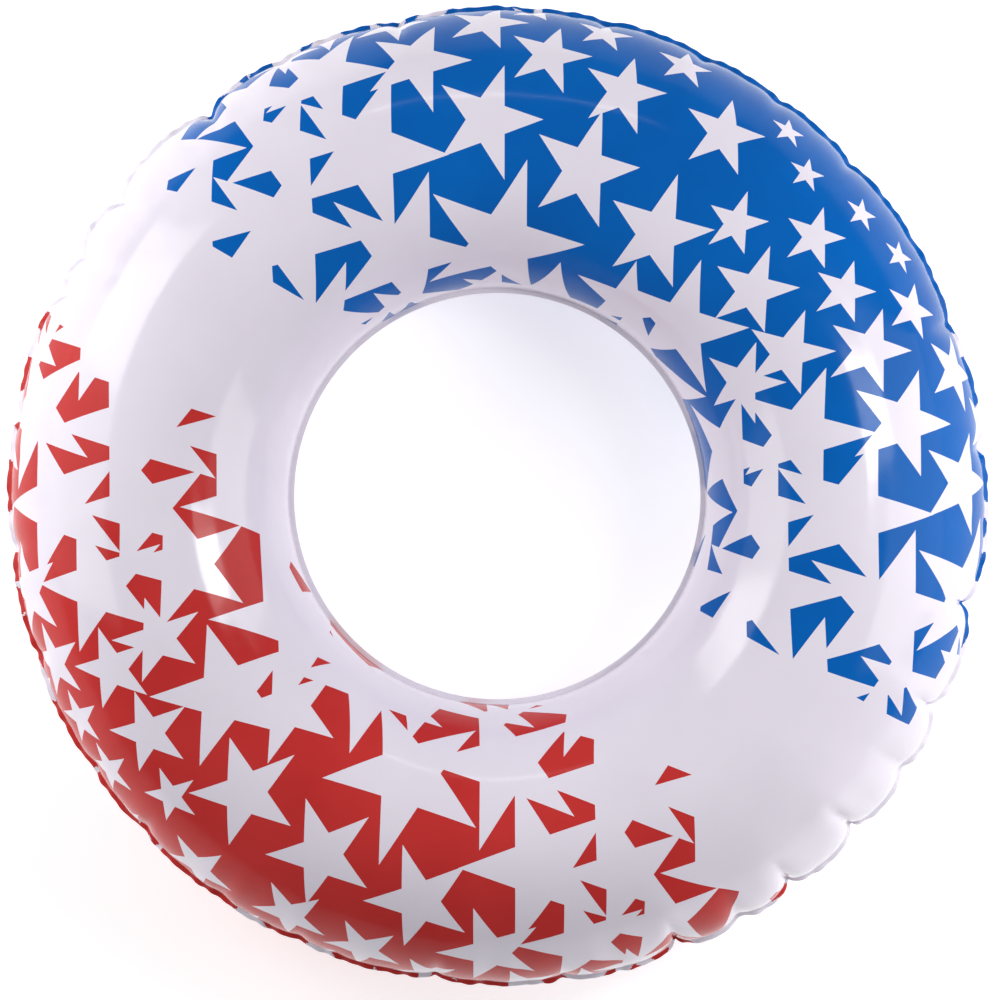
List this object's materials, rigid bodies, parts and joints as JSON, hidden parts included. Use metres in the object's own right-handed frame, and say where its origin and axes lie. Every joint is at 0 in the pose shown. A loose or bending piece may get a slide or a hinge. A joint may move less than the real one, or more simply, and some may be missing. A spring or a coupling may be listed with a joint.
{
  "type": "inflatable swim ring",
  "caption": "Inflatable vinyl swim ring: two printed sheets welded at a scalloped outer seam and an inner seam, with a push-in air valve and tethered plug underneath.",
  "frame": {"origin": "centre of the ring on the surface that it lies on", "axes": "+Z is the ring's axis, up; the valve is on the underside, 159.5 degrees round from +X"},
  "size_m": [0.6972, 0.6972, 0.1969],
  "materials": {
    "printed_vinyl": "soft satin-gloss PVC sheet, white, printed with blue and red stars",
    "seam_vinyl": "two fused PVC sheets with a fine weld pattern",
    "valve_vinyl": "soft moulded translucent white PVC"
  },
  "bodies": {
    "ring": {"top_panel": "printed_vinyl", "bottom_panel": "printed_vinyl", "outer_seam": "seam_vinyl", "inner_seam": "seam_vinyl", "valve_flange": "valve_vinyl", "valve_collar": "valve_vinyl"},
    "stem": {"valve_stem": "valve_vinyl", "plug_strap": "valve_vinyl"},
    "plug": {"valve_plug": "valve_vinyl"},
    "flap": {"check_flap": "valve_vinyl"}
  },
  "joints": [
    {"name": "stem_pull", "type": "slide", "parent": "ring", "child": "stem", "axis": [0.366, -0.1368, -0.9205], "range_m": [0, 0.016], "deforming": ["valve_collar"]},
    {"name": "plug_swing", "type": "hinge", "parent": "stem", "child": "plug", "pos_m": [-0.18794, 0.07027, 0.01081], "axis": [-0.3502, -0.9367, 0], "range_deg": [0, 150], "deforming": ["plug_strap"]},
    {"name": "flap_swing", "type": "hinge", "parent": "stem", "child": "flap", "pos_m": [-0.19496, 0.07289, 0.02512], "axis": [0.3502, 0.9367, 0], "range_deg": [0, 60]}
  ]
}
